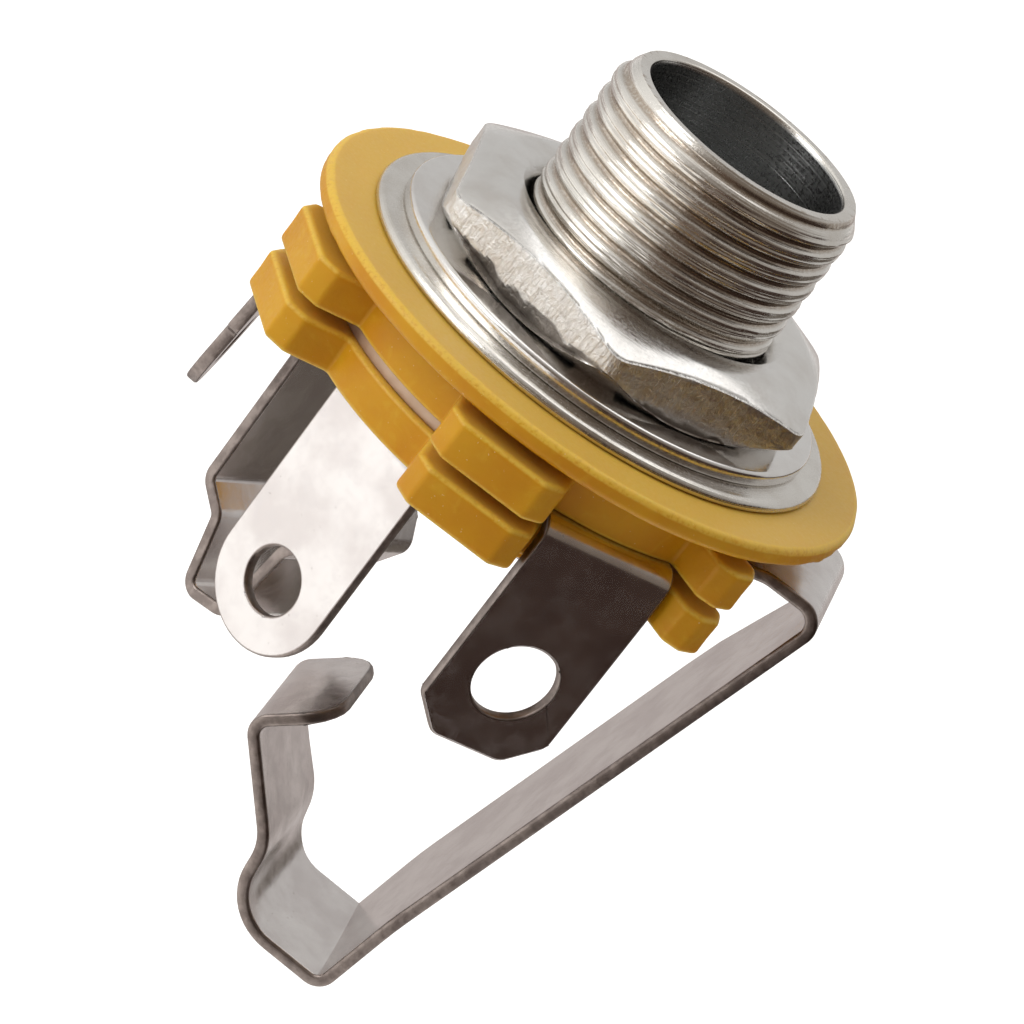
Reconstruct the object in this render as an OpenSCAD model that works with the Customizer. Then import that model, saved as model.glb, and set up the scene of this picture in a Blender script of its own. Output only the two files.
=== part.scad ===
// Open frame stereo phone jack for a 6.35 mm plug, panel mounted by its threaded bushing.
// The axis is Z, the plug goes in from +Z, and z = 0 is the face of the flange that meets the panel.
// Angles are counted in degrees from +X, where the tip spring is.

/* [Bushing] */
// Outside diameter of the panel thread
thread_d = 9.4; // [9.2:0.05:9.6]
// Bore that guides the plug
bore_d = 6.5; // [6.4:0.05:6.7]
// Height of the barrel above the flange
barrel_h = 8.05; // [7:0.05:12]
// Width of the counterbored mouth
mouth_d = 7.6; // [7:0.1:7.8]
// Depth of the counterbored mouth
mouth_h = 3.4; // [1:0.1:4]
// Outside width of the flat rim at the mouth
rim_d = 8.5; // [8.2:0.1:9]
// Length of the tapered lead at the barrel's end
lead_h = 0.7; // [0.4:0.05:1.2]
// Pitch of the panel thread
thread_pitch = 0.794; // [0.7:0.002:0.85]
// Depth of the rolled thread
thread_depth = 0.2; // [0.15:0.01:0.25]
// Number of thread ridges below the lead
thread_ridges = 6; // [4:1:6]
// Diameter of the flange
flange_d = 17.7; // [16:0.1:19]
// Thickness of the flange
flange_t = 0.4; // [0.3:0.05:0.8]
// Step from the thread's crest down to the tube that holds the stack
tube_step = 0.3; // [0.25:0.05:0.6]
// Outside diameter of the rolled rear rim
roll_d = 11.2; // [10.4:0.1:12]
// Height of the rolled rear rim
roll_h = 0.65; // [0.4:0.05:1]

/* [Nut and washer] */
// Width of the nut across its flats
nut_af = 13.7; // [13.2:0.1:14]
// Thickness of the nut
nut_h = 2.25; // [2:0.05:2.8]
// Diameter of the flat top inside the nut's upper chamfer
nut_face_d = 12.2; // [11.8:0.1:13]
// Depth of the countersinks in the nut
nut_sink = 0.45; // [0.2:0.05:0.6]
// Angle of one corner of the nut
nut_corner = -83; // [-90:1:-60]
// How far the washer's rim stands out past the nut's corners
washer_rim = 0.09; // [0.05:0.01:0.6]
// Thickness of the washer
washer_t = 0.55; // [0.4:0.05:0.8]

/* [Insulators] */
// Diameter of the front disc
disc_d = 21.2; // [20:0.1:23]
// Thickness of the front disc
disc_t = 0.75; // [0.6:0.05:1.2]
// How far the round body of a keyed wafer lies inside the disc's rim
wafer_inset = 1.9; // [1.7:0.05:2.2]
// Thickness of a keyed wafer
wafer_t = 1.45; // [1.1:0.05:1.7]
// How far the keys stand out past the disc's rim
key_out = 0.1; // [0:0.02:0.3]
// Width of the keys
key_w = 4.4; // [3.8:0.1:4.4]
// Width of the two keys beside the tip spring
narrow_key_w = 1.8; // [1.4:0.1:1.9]
// Angle from the tip spring to the keys beside it
narrow_key_angle = 38; // [36:0.5:38]
// Outside diameter of the rear washer
rear_d = 12.8; // [12:0.1:13.2]
// Thickness of the rear washer
rear_t = 0.7; // [0.5:0.05:1.2]

/* [Contacts] */
// Thickness of the contact sheet
sheet_t = 0.45; // [0.35:0.05:0.5]
// Inside radius of a sharp bend, as in the solder lugs
bend_r = 0.3; // [0.2:0.05:0.4]
// Gap where a spring leaf leaves its contact plate
leaf_gap = 0.02; // [0.02:0.01:0.05]

/* [Tip contact] */
// How far the tip plate's rim lies inside the wafers
tip_inset = 0.1; // [0.05:0.01:0.3]
// Width of the tip spring
tip_w = 5.8; // [4.8:0.1:6]
// How far the leaf's upper bend reaches out past the disc's rim
tip_over = 0.95; // [0.7:0.01:1.2]
// Inside radius of the leaf's upper bend
tip_bend_r = 0.5; // [0.4:0.05:0.6]
// Length of the leaf from the end of its tab to its upper bend
tip_tab = 1.05; // [1.02:0.01:1.2]
// Step by which the tab rises above the tip plate
tip_rise = 0.65; // [0.5:0.05:0.7]
// Distance from the flange to the bottom of the leaf
tip_drop = 24.5; // [24:0.1:26]
// Distance from the flange to the tip contact point
tip_point_drop = 18; // [17.6:0.1:18.6]
// How far the contact point passes the axis
tip_pass = 1.4; // [1:0.1:1.5]
// Gap between the tip lug and the wafer beside it
tip_lug_gap = 0.15; // [0.1:0.01:0.4]
// Width of the tip lug
tip_lug_w = 5; // [4.4:0.1:5]
// Distance from the flange to the end of the tip lug
tip_lug_drop = 11.6; // [11:0.1:13]
// Cut at the corners of the tip lug
tip_lug_cut = 1.15; // [0.6:0.05:1.4]
// Diameter of the wire hole in the tip lug
tip_hole_d = 2.84; // [2:0.02:3]
// Distance from the flange to the wire hole in the tip lug
tip_hole_drop = 8.73; // [8.4:0.01:9]

/* [Ring contact] */
// How far the ring plate's rim stands out past the rear washer
ring_rim = 0.2; // [0.05:0.01:0.4]
// Width of the ring spring
ring_w = 5.2; // [4.4:0.1:5.4]
// Length of the tab between the ring plate's rim and its leaf
ring_tab = 0.15; // [0.1:0.01:0.3]
// Length of the leaf from its tab to its long leg
ring_out = 0.65; // [0.6:0.01:1]
// Distance from the flange to the bottom of the leaf
ring_drop = 17.1; // [16.6:0.1:18]
// Distance from the flange to the ring contact point
ring_point_drop = 12.1; // [11.8:0.1:12.6]
// Distance from the axis to the ring contact point
ring_point_r = 2.45; // [2.2:0.05:2.6]
// Gap between the ring lug and the rear washer
ring_lug_gap = 0.3; // [0.2:0.01:0.5]
// Width of the ring lug
ring_lug_w = 5; // [4.4:0.1:5.2]
// Diameter of the wire hole in the ring lug
ring_hole_d = 2.3; // [1.6:0.05:2.6]
// Distance from the flange to the wire hole in the ring lug
ring_hole_drop = 11.85; // [11.5:0.05:12.5]

/* [Sleeve contact] */
// How far the sleeve plate's rim lies inside the wafers
sleeve_inset = 0.3; // [0.1:0.05:0.6]
// Gap between the sleeve lug's bend and the wafers beside it
sleeve_lug_gap = 0.25; // [0.15:0.01:0.5]
// Angle by which the sleeve lug leans outwards
sleeve_splay = 5; // [0:0.5:8]
// Width of the sleeve lug where it leaves the stack
sleeve_root_w = 5; // [4.8:0.1:5.1]
// Width of the sleeve lug below its shoulders
sleeve_lug_w = 4; // [3.6:0.1:4.6]
// Distance from the flange to the shoulders of the sleeve lug
sleeve_shoulder_drop = 7.2; // [6:0.1:7.6]
// Diameter of the wire hole in the sleeve lug
sleeve_hole_d = 2; // [1.4:0.1:2.2]
// Distance from the flange to the wire hole in the sleeve lug
sleeve_hole_drop = 8.4; // [8.2:0.1:9]

/* [Clearances] */
// Radial clearance of the nut on the thread crests
nut_clear = 0.05; // [0.03:0.01:0.08]
// Radial clearance of the washer on the thread
washer_clear = 0.15; // [0.1:0.01:0.3]
// Radial clearance of the insulators on the tube
stack_clear = 0.05; // [0.02:0.01:0.08]
// Radial clearance of the tip and ring plates on the collars
plate_clear = 0.05; // [0.02:0.01:0.1]

/* [Hidden] */
$fn = 96;

nickel = [0.72, 0.70, 0.67];
amber = [0.88, 0.62, 0.10];

// Angles of the contacts around the axis
tip_angle = 0;
tip_lug_angle = -60;
ring_angle = 150;
ring_lug_angle = -120;
sleeve_lug_angle = 180;

// Levels of the stack, from the flange to the rolled rim
disc_z = -flange_t;
sleeve_z = disc_z - disc_t;
upper_z = sleeve_z - sheet_t;
tip_z = upper_z - wafer_t;
lower_z = tip_z - sheet_t;
ring_z = lower_z - wafer_t;
rear_z = ring_z - sheet_t;
roll_z = rear_z - rear_t;

// Radii that the pieces of the stack share
tube_r = thread_d / 2 - tube_step;
collar_wall = 1;
stack_bore_r = tube_r + stack_clear;
collar_r = tube_r + collar_wall;
plate_bore_r = collar_r + plate_clear;
root_r = thread_d / 2 - thread_depth;
nut_corner_r = nut_af / 2 / cos(30);
washer_r = nut_corner_r + washer_rim;
key_r = disc_d / 2 + key_out;
wafer_r = disc_d / 2 - wafer_inset;
sleeve_plate_r = wafer_r - sleeve_inset;
sleeve_lug_r = wafer_r + sleeve_lug_gap + sheet_t;
tip_plate_r = wafer_r - tip_inset;
tip_lug_r = wafer_r + tip_lug_gap + sheet_t;
tip_reach = disc_d / 2 + tip_over;
tip_root = tip_reach - tip_tab;
tip_tab_z = tip_z - sheet_t / 2 + tip_rise;
ring_plate_r = rear_d / 2 + ring_rim;
ring_lug_r = rear_d / 2 + ring_lug_gap + sheet_t;
ring_root = ring_plate_r + ring_tab;
ring_reach = ring_root + ring_out;
lug_spare = 2;
bend_step = 10;
edge_r = 0.12;
key_chamfer = 0.6;
root_overlap = 0.9;
nut_top_chamfer = 23;
nut_base_chamfer = 40;
thread_flank = 30;
lip = 0.12;
notch_depth = 2;
notch_clear = 0.3;
slit = 0.1;

key_angles = [narrow_key_angle, 90, 150, 210, 270, 360 - narrow_key_angle];

function unit(v) = v / norm(v);
function left_of(v) = [-v[1], v[0]];
function place(p) = [p[0], p[1]];

// Points of one rounded bend at p, from direction u to direction v, offset by h to the left
function bend_points(p, u, v, r, h) =
    let (turn = atan2(u[0] * v[1] - u[1] * v[0], u * v),
         side = sign(turn),
         centre = p - u * r * tan(abs(turn) / 2) + left_of(u) * side * r,
         out = -side * left_of(u),
         start = atan2(out[1], out[0]),
         count = max(1, ceil(abs(turn) / bend_step)))
    [for (k = [0 : count])
        centre + (r - side * h) * [cos(start + turn * k / count), sin(start + turn * k / count)]];

// One edge of a bent strip whose centre line runs through path, each point being [x, z, bend radius]
function strip_edge(path, h) =
    let (last = len(path) - 1)
    [for (i = [0 : last])
        let (p = place(path[i]),
             u = unit(i > 0 ? p - place(path[i - 1]) : place(path[1]) - p),
             v = unit(i < last ? place(path[i + 1]) - p : u))
        each (i == 0 || i == last) ? [p + left_of(u) * h] : bend_points(p, u, v, path[i][2], h)];

function reversed(list) = [for (i = [len(list) - 1 : -1 : 0]) list[i]];

// Strip of sheet bent along path in the plane through the axis at the given angle
module bent_strip(path, width, angle) {
    rotate([0, 0, angle])
        rotate([90, 0, 0])
            linear_extrude(width, center = true)
                polygon(concat(strip_edge(path, sheet_t / 2), reversed(strip_edge(path, -sheet_t / 2))));
}

// Tab that runs out from a plate at level z and turns down, with its outer face at radius r at the bend
module lug_strip(angle, start, z, r, drop, width, splay = 0) {
    mid_r = r - sheet_t / 2;
    mid_z = z - sheet_t / 2;
    path = [[start, mid_z, 0],
            [mid_r, mid_z, bend_r + sheet_t / 2],
            [mid_r + (drop + mid_z) * tan(splay), -drop, 0]];
    bent_strip(path, width, angle);
}

// Solid that runs from the axis out through a hanging lug, with a flat outline of [z, across]
module through_lug(angle, r) {
    rotate([0, 0, angle])
        translate([r + lug_spare, 0, 0])
            rotate([0, -90, 0])
                linear_extrude(r + lug_spare)
                    children();
}

// Wire hole through a hanging lug, square to its face
module lug_hole(angle, r, drop, d, splay = 0) {
    rotate([0, 0, angle])
        translate([r, 0, -drop])
            rotate([0, 90 - splay, 0])
                cylinder(h = 2 * lug_spare, d = d, center = true);
}

// Flat ring with its top face at level z
module ring_plate(z, outer_r, inner_r, t) {
    translate([0, 0, z - t])
        difference() {
            cylinder(h = t, r = outer_r);
            translate([0, 0, -t])
                cylinder(h = 3 * t, r = inner_r);
        }
}

// Threaded barrel, tube and rolled rear rim, turned in one piece with the flange
module bushing() {
    crest_r = thread_d / 2;
    bore_r = bore_d / 2;
    mouth_r = mouth_d / 2;
    rear = roll_z - roll_h;
    shoulder = barrel_h - mouth_h;
    crest_top = barrel_h - lead_h;
    crest_w = thread_pitch / 2;
    flank = thread_depth * tan(thread_flank);
    inside = [[mouth_r + lip, barrel_h], [mouth_r, barrel_h - lip], [mouth_r, shoulder],
              [bore_r, shoulder - mouth_r + bore_r], [bore_r, rear]];
    roll = [for (a = [90 : -bend_step : 0])
        [tube_r + (roll_d / 2 - tube_r) * cos(a), roll_z - roll_h * sin(a)]];
    neck = [[tube_r, roll_z], [tube_r, -flange_t], [root_r, -flange_t]];
    thread = [for (i = [thread_ridges - 1 : -1 : 0])
        let (z = crest_top - i * thread_pitch)
        each concat([[root_r, z - crest_w - flank], [crest_r, z - crest_w], [crest_r, z]],
                    i > 0 ? [[root_r, z + flank]] : [])];
    color(nickel)
        rotate_extrude()
            polygon(concat(inside, roll, neck, thread, [[rim_d / 2, barrel_h]]));
}

// Flange of the bushing, around its neck
module flange() {
    color(nickel)
        ring_plate(0, flange_d / 2, root_r, flange_t);
}

// Hexagon nut, crowned on top, chamfered below and countersunk at both ends of its bore
module hex_nut() {
    face_r = nut_face_d / 2;
    bore_r = thread_d / 2 + nut_clear;
    outside_r = nut_corner_r + edge_r;
    base_r = nut_af / 2 - edge_r / 2;
    top_h = (outside_r - face_r) * tan(nut_top_chamfer);
    base_h = (outside_r - base_r) * tan(nut_base_chamfer);
    color(nickel)
        translate([0, 0, washer_t])
            difference() {
                intersection() {
                    rotate([0, 0, nut_corner])
                        cylinder(h = nut_h, r = nut_corner_r, $fn = 6);
                    rotate_extrude()
                        polygon([[0, 0], [base_r, 0], [outside_r, base_h],
                                 [outside_r, nut_h - top_h], [face_r, nut_h], [0, nut_h]]);
                }
                translate([0, 0, -1])
                    cylinder(h = nut_h + 2, r = bore_r);
                cylinder(h = nut_sink, r1 = bore_r + nut_sink, r2 = bore_r);
                translate([0, 0, nut_h - nut_sink])
                    cylinder(h = nut_sink, r1 = bore_r, r2 = bore_r + nut_sink);
            }
}

// Flat washer with its outer edges broken
module panel_washer() {
    inner = thread_d / 2 + washer_clear;
    color(nickel)
        rotate_extrude()
            polygon([[inner, 0], [washer_r - edge_r, 0], [washer_r, edge_r], [washer_r, washer_t - edge_r],
                     [washer_r - edge_r, washer_t], [inner, washer_t]]);
}

// Insulating disc under the flange, with a rounded rim
module front_disc() {
    outer = disc_d / 2;
    round_r = disc_t / 2;
    rim = [for (a = [-90 : bend_step : 90])
        [outer - round_r + round_r * cos(a), disc_z - disc_t / 2 + round_r * sin(a)]];
    color(amber)
        rotate_extrude()
            polygon(concat([[stack_bore_r, disc_z - disc_t]], rim, [[stack_bore_r, disc_z]]));
}

// One key of a wafer, with its outer corners cut
module key(width) {
    half = width / 2;
    inner = wafer_r - root_overlap;
    linear_extrude(wafer_t)
        polygon([[inner, -half], [key_r - key_chamfer, -half], [key_r, key_chamfer - half],
                 [key_r, half - key_chamfer], [key_r - key_chamfer, half], [inner, half]]);
}

// Insulating wafer with keys between the contacts, and a collar that keeps the next plate off the tube
module keyed_wafer(z) {
    color(amber)
        difference() {
            union() {
                translate([0, 0, z - wafer_t])
                    cylinder(h = wafer_t, r = wafer_r);
                for (a = key_angles)
                    translate([0, 0, z - wafer_t])
                        rotate([0, 0, a])
                            key(min(a, 360 - a) == narrow_key_angle ? narrow_key_w : key_w);
                translate([0, 0, z - wafer_t - sheet_t])
                    cylinder(h = wafer_t, r = collar_r);
            }
            translate([0, 0, z - 2 * wafer_t])
                cylinder(h = 3 * wafer_t, r = stack_bore_r);
        }
}

// Upper wafer, notched so that the tip spring's tab can rise
module upper_wafer() {
    half = tip_w / 2 + notch_clear;
    color(amber)
        difference() {
            keyed_wafer(upper_z);
            translate([wafer_r - notch_depth, -half, upper_z - 2 * wafer_t])
                cube([2 * notch_depth, 2 * half, 3 * wafer_t]);
        }
}

module lower_wafer() {
    keyed_wafer(lower_z);
}

// Insulating washer behind the ring plate
module rear_washer() {
    color(amber)
        ring_plate(rear_z, rear_d / 2, stack_bore_r, rear_t);
}

// Sleeve plate around the tube, with a shouldered lug that has a round end
module sleeve_contact() {
    half = sleeve_lug_w / 2;
    hole_r = sleeve_lug_r - sheet_t / 2 + (sleeve_hole_drop + sleeve_z - sheet_t / 2) * tan(sleeve_splay);
    color(nickel)
        difference() {
            union() {
                ring_plate(sleeve_z, sleeve_plate_r, stack_bore_r, sheet_t);
                intersection() {
                    lug_strip(sleeve_lug_angle, sleeve_plate_r - root_overlap, sleeve_z, sleeve_lug_r,
                              sleeve_hole_drop + half, sleeve_root_w, sleeve_splay);
                    through_lug(sleeve_lug_angle, sleeve_lug_r) {
                        translate([-sleeve_shoulder_drop, -sleeve_root_w / 2])
                            square([sleeve_shoulder_drop, sleeve_root_w]);
                        translate([-sleeve_hole_drop, -half])
                            square([sleeve_hole_drop, sleeve_lug_w]);
                        translate([-sleeve_hole_drop, 0])
                            circle(half);
                    }
                }
            }
            lug_hole(sleeve_lug_angle, hole_r, sleeve_hole_drop, sleeve_hole_d, sleeve_splay);
        }
}

// Tip plate, the raised tab that the tip spring grows from, and the tip solder lug with cut corners
module tip_contact() {
    half = tip_lug_w / 2;
    mid_z = tip_z - sheet_t / 2;
    ramp_out = 2.2;
    ramp_bend_r = 1.5;
    ramp_r = wafer_r - notch_depth + notch_clear;
    slot_r = wafer_r - notch_depth + slit / 2;
    slot_half = tip_w / 2 + slit;
    tab = [[plate_bore_r + root_overlap / 2, mid_z, 0],
           [ramp_r, mid_z, ramp_bend_r],
           [ramp_r + ramp_out, tip_tab_z, ramp_bend_r],
           [tip_root, tip_tab_z, 0]];
    color(nickel)
        difference() {
            union() {
                difference() {
                    ring_plate(tip_z, tip_plate_r, plate_bore_r, sheet_t);
                    translate([slot_r, -slot_half, tip_z - 2 * sheet_t])
                        cube([2 * notch_depth, 2 * slot_half, 3 * sheet_t]);
                }
                bent_strip(tab, tip_w, tip_angle);
                intersection() {
                    lug_strip(tip_lug_angle, tip_plate_r - root_overlap, tip_z, tip_lug_r,
                              tip_lug_drop, tip_lug_w);
                    through_lug(tip_lug_angle, tip_lug_r)
                        polygon([[0, -half], [tip_lug_cut - tip_lug_drop, -half],
                                 [-tip_lug_drop, tip_lug_cut - half], [-tip_lug_drop, half - tip_lug_cut],
                                 [tip_lug_cut - tip_lug_drop, half], [0, half]]);
                }
            }
            lug_hole(tip_lug_angle, tip_lug_r, tip_hole_drop, tip_hole_d);
        }
}

// Tip spring: down from the tab, across under the axis, and up to a bowed contact point
module tip_spring() {
    knee_x = 6.6;
    knee_rise = 3.5;
    knee_r = 20;
    heel_x = 5.9;
    heel_r = 0.6;
    toe_x = 1.75;
    toe_rise = 0.15;
    toe_r = 1.6;
    shin_x = 1.6;
    shin_rise = 3.1;
    shin_r = 0.8;
    point_r = 0.6;
    end_x = 0.9;
    end_rise = 2.1;
    path = [[tip_root + leaf_gap, tip_tab_z, 0],
            [tip_reach, tip_tab_z, tip_bend_r + sheet_t / 2],
            [knee_x, knee_rise - tip_drop, knee_r],
            [heel_x, -tip_drop, heel_r],
            [toe_x, toe_rise - tip_drop, toe_r],
            [shin_x, shin_rise - tip_drop, shin_r],
            [-tip_pass, -tip_point_drop, point_r],
            [end_x, end_rise - tip_point_drop, 0]];
    color(nickel)
        bent_strip(path, tip_w, tip_angle);
}

// Ring plate, the tab that the ring spring grows from, and the ring solder lug with a round end
module ring_contact() {
    half = ring_lug_w / 2;
    mid_z = ring_z - sheet_t / 2;
    tab = [[plate_bore_r + root_overlap / 2, mid_z, 0], [ring_root, mid_z, 0]];
    color(nickel)
        difference() {
            union() {
                ring_plate(ring_z, ring_plate_r, plate_bore_r, sheet_t);
                bent_strip(tab, ring_w, ring_angle);
                intersection() {
                    lug_strip(ring_lug_angle, ring_plate_r - root_overlap, ring_z, ring_lug_r,
                              ring_hole_drop + half, ring_lug_w);
                    through_lug(ring_lug_angle, ring_lug_r) {
                        translate([-ring_hole_drop, -half])
                            square([ring_hole_drop, ring_lug_w]);
                        translate([-ring_hole_drop, 0])
                            circle(half);
                    }
                }
            }
            lug_hole(ring_lug_angle, ring_lug_r, ring_hole_drop, ring_hole_d);
        }
}

// Ring spring: down from the tab, joggled inwards, and up to a bowed contact point
module ring_spring() {
    mid_z = ring_z - sheet_t / 2;
    joggle_rise = 3.4;
    joggle_in = 1.2;
    joggle_h = 0.7;
    joggle_r = 0.5;
    heel_in = 1.9;
    toe_out = 1.2;
    toe_rise = 0.5;
    toe_r = 0.7;
    shin_out = 0.8;
    shin_drop = 1.3;
    shin_r = 0.6;
    point_r = 0.5;
    end_out = 0.9;
    end_rise = 1.6;
    path = [[ring_root + leaf_gap, mid_z, 0],
            [ring_reach, mid_z, bend_r + sheet_t / 2],
            [ring_reach, joggle_rise - ring_drop, joggle_r],
            [ring_reach - joggle_in, joggle_rise - joggle_h - ring_drop, joggle_r],
            [ring_reach - heel_in, -ring_drop, joggle_r],
            [ring_point_r + toe_out, toe_rise - ring_drop, toe_r],
            [ring_point_r + shin_out, -ring_point_drop - shin_drop, shin_r],
            [ring_point_r, -ring_point_drop, point_r],
            [ring_point_r + end_out, end_rise - ring_point_drop, 0]];
    color(nickel)
        bent_strip(path, ring_w, ring_angle);
}

bushing();
flange();
hex_nut();
panel_washer();
front_disc();
sleeve_contact();
upper_wafer();
tip_contact();
tip_spring();
lower_wafer();
ring_contact();
ring_spring();
rear_washer();
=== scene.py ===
import math

import bmesh
import bpy
from mathutils import Matrix, Vector, noise


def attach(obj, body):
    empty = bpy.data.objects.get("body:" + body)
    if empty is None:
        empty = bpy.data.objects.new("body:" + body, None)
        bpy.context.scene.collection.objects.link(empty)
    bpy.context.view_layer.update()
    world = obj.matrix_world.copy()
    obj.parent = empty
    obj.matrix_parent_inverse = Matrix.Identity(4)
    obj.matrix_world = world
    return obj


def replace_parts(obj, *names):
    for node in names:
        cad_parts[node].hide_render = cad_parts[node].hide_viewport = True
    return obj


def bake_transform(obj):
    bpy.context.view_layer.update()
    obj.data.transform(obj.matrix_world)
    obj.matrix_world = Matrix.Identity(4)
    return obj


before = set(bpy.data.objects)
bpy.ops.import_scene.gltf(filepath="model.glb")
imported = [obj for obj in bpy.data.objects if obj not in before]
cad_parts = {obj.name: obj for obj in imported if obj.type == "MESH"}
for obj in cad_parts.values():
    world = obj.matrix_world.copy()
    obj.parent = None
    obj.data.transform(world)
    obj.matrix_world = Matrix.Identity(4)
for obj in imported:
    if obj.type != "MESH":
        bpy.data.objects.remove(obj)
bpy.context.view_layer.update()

# Sizes are in millimetres and angles in degrees
MM = 0.001

# Bushing
THREAD_R = 4.7
THREAD_PITCH = 25.4 / 32
THREAD_DEPTH = 0.2
NECK_H = 2.1
FULL_THREAD_H = 2.7
BORE_R = 3.25
BARREL_H = 8.05
MOUTH_R = 3.8
MOUTH_H = 3.4
RIM_R = 4.25
LEAD_H = 0.7
FLANGE_R = 8.85
FLANGE_T = 0.4
TUBE_R = 4.4
ROLL_R = 5.6
ROLL_H = 0.65

# Nut and panel washer
NUT_FLAT_R = 6.85
NUT_H = 2.25
NUT_FACE_R = 6.1
NUT_BASE_R = 6.79
NUT_BORE_R = 4.75
NUT_SINK = 0.45
NUT_CORNER = -83
NUT_CORNER_ROUND = 0.9
NUT_TOP_CHAMFER = 23
NUT_BASE_CHAMFER = 40
WASHER_R = 8.0
WASHER_BORE_R = 4.85
WASHER_T = 0.55

# Insulators
DISC_R = 10.6
DISC_T = 0.75
STACK_BORE_R = 4.45
COLLAR_R = 5.4
WAFER_R = 8.7
WAFER_T = 1.45
KEY_R = 10.7
KEY_W = 4.4
KEY_CUT = 0.6
NARROW_KEY_W = 1.8
NARROW_KEY_ANGLE = 38
NOTCH_X = 6.7
NOTCH_HALF = 3.2
REAR_R = 6.4
REAR_T = 0.7

# Contacts
SHEET_T = 0.45
BEND_R = 0.3
PLATE_BORE_R = 5.45
PLATE_EDGE = 0.05
LUG_EDGE = 0.1
SPRING_EDGE = 0.12
TIP_RISE = 0.65
SLEEVE_LUG_ANGLE = 180
TIP_LUG_ANGLE = -60
RING_LUG_ANGLE = -120
TIP_SPRING_ANGLE = 0
RING_SPRING_ANGLE = 150

# Levels of the stack
DISC_Z = -FLANGE_T
SLEEVE_Z = DISC_Z - DISC_T
UPPER_Z = SLEEVE_Z - SHEET_T
TIP_Z = UPPER_Z - WAFER_T
LOWER_Z = TIP_Z - SHEET_T
RING_Z = LOWER_Z - WAFER_T
REAR_Z = RING_Z - SHEET_T
ROLL_Z = REAR_Z - REAR_T

# Fineness of the meshes
TURN_STEPS = 192
PLATE_STEPS = 144
THREAD_ROWS = 28
NUT_SIDE_COLUMNS = 48
NUT_SIDE_ROWS = 16


# Outlines and paths

def eased(value, low, high):
    share = max(0.0, min(1.0, (value - low) / (high - low)))
    return share * share * (3 - 2 * share)


def bumps(place, fade, octaves):
    """Fractal noise with its hollows cut off, each octave twice as fine as the last."""
    return max(0.0, noise.fractal(place, fade, 2.0, octaves))


def rotated(v, angle):
    c, s = math.cos(angle), math.sin(angle)
    return Vector((v.x * c - v.y * s, v.x * s + v.y * c))


def left_of(v):
    return Vector((-v.y, v.x))


def turn_between(u, v):
    return math.atan2(u.x * v.y - u.y * v.x, u.dot(v))


class Path:
    """Centre line through corner points (x, z, bend radius), as straights and arcs."""

    def __init__(self, corners):
        places = [Vector(c[:2]) for c in corners]
        self.parts = []
        self.length = 0.0
        here = places[0]
        last = len(places) - 1
        for i in range(1, last + 1):
            u = (places[i] - places[i - 1]).normalized()
            if i == last:
                self._straight(here, places[i], u)
                break
            v = (places[i + 1] - places[i]).normalized()
            turn = turn_between(u, v)
            radius = corners[i][2]
            reach = radius * math.tan(abs(turn) / 2)
            start = places[i] - u * reach
            self._straight(here, start, u)
            self._arc(start, u, radius, turn)
            here = places[i] + v * reach

    def _straight(self, a, b, u):
        size = (b - a).length
        self.parts.append(("line", self.length, self.length + size, a, u, 0.0, 0.0))
        self.length += size

    def _arc(self, start, u, radius, turn):
        size = radius * abs(turn)
        self.parts.append(("arc", self.length, self.length + size, start, u, radius, turn))
        self.length += size

    def at(self, s, offset):
        """Point at a distance along the path and to the left of it; the last part runs on past its end."""
        for kind, s0, s1, start, u, radius, turn in self.parts:
            if s <= s1:
                break
        if kind == "line":
            return start + u * (s - s0) + left_of(u) * offset
        side = math.copysign(1, turn)
        centre = start + left_of(u) * side * radius
        angle = side * (s - s0) / radius
        out = rotated(left_of(u) * -side, angle)
        return centre + out * (radius - side * offset)

    def cuts(self, arc_step=7.0, line_step=1.5, margin=1e-4):
        """Distances at which a sheet is cut across, so that it can bend."""
        found = []
        for kind, s0, s1, start, u, radius, turn in self.parts:
            if kind == "line":
                count = max(1, math.ceil((s1 - s0) / line_step))
            else:
                count = max(2, math.ceil(math.degrees(abs(turn)) / arc_step))
            found += [s0 + (s1 - s0) * k / count for k in range(count + 1)]
        return sorted({round(s, 6) for s in found if margin < s < self.length - margin})


def fillet(corners, closed=True, step=18.0):
    """Outline through (x, y, radius) corners, with each corner rounded."""
    count = len(corners)
    out = []
    for i, (x, y, radius) in enumerate(corners):
        p = Vector((x, y))
        if radius <= 0 or (not closed and i in (0, count - 1)):
            out.append(p)
            continue
        before = Vector(corners[i - 1][:2])
        after = Vector(corners[(i + 1) % count][:2])
        u = (p - before).normalized()
        v = (after - p).normalized()
        turn = turn_between(u, v)
        if abs(turn) < 1e-4:
            out.append(p)
            continue
        side = math.copysign(1, turn)
        reach = radius * math.tan(abs(turn) / 2)
        centre = p - u * reach + left_of(u) * side * radius
        first = left_of(u) * -side
        steps = max(2, math.ceil(math.degrees(abs(turn)) / step))
        out += [centre + rotated(first, turn * k / steps) * radius for k in range(steps + 1)]
    return out


def circle(x, radius, count):
    """Circle about a point on the strip's middle line."""
    turns = [2 * math.pi * k / count for k in range(count)]
    return [Vector((x + radius * math.cos(a), radius * math.sin(a))) for a in turns]


def half_round(end, half):
    """Half circle that closes a strip at its far end."""
    turns = [math.radians(a) for a in range(0, 181, 6)]
    return [(end - half + half * math.sin(a), -half * math.cos(a), 0) for a in turns]


# Meshes

def placed(name, data):
    obj = bpy.data.objects.new(name, data)
    bpy.context.scene.collection.objects.link(obj)
    return obj


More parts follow.
